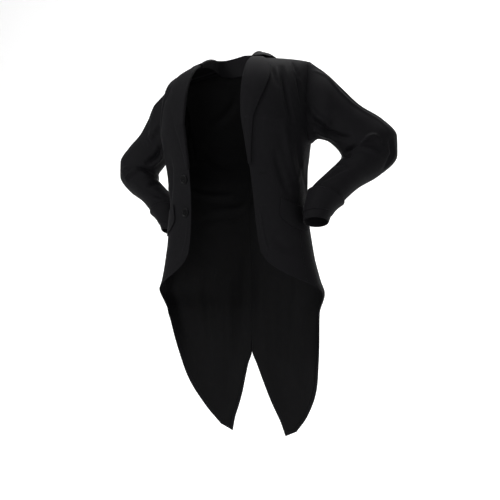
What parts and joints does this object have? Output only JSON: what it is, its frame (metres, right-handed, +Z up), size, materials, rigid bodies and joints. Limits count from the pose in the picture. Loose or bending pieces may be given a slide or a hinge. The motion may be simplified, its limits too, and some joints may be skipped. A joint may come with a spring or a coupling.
{
  "type": "white tie tailcoat",
  "caption": "Black tailcoat with cutaway fronts, two long tails, bent sleeves with turned-back cuffs, narrow rolled lapels, slanted pocket flaps and buttons on one front.",
  "frame": {"origin": "centre of the neck, level with the neck ends of the shoulder seams", "axes": "+Z up along the wearer, -Y ahead of the wearer out of the open front, +X to the wearer's left"},
  "size_m": [0.8536, 0.3267, 1.1105],
  "materials": {
    "wool": "matte",
    "lining": "satin",
    "button": "satin"
  },
  "bodies": {
    "root": {"back_left": "wool", "back_right": "wool", "button_lower": "button", "button_upper": "button", "collar": "wool", "cuff_left": "wool", "cuff_right": "wool", "flap_left": "wool", "flap_right": "wool", "front_left": "wool", "front_right": "wool", "lapel_left": "wool", "lapel_right": "wool", "lining_back_left": "lining", "lining_back_right": "lining", "lining_side_left": "lining", "lining_side_right": "lining", "side_left": "wool", "side_right": "wool", "under_sleeve_left": "wool", "under_sleeve_right": "wool", "upper_sleeve_left": "wool", "upper_sleeve_right": "wool"}
  },
  "joints": []
}
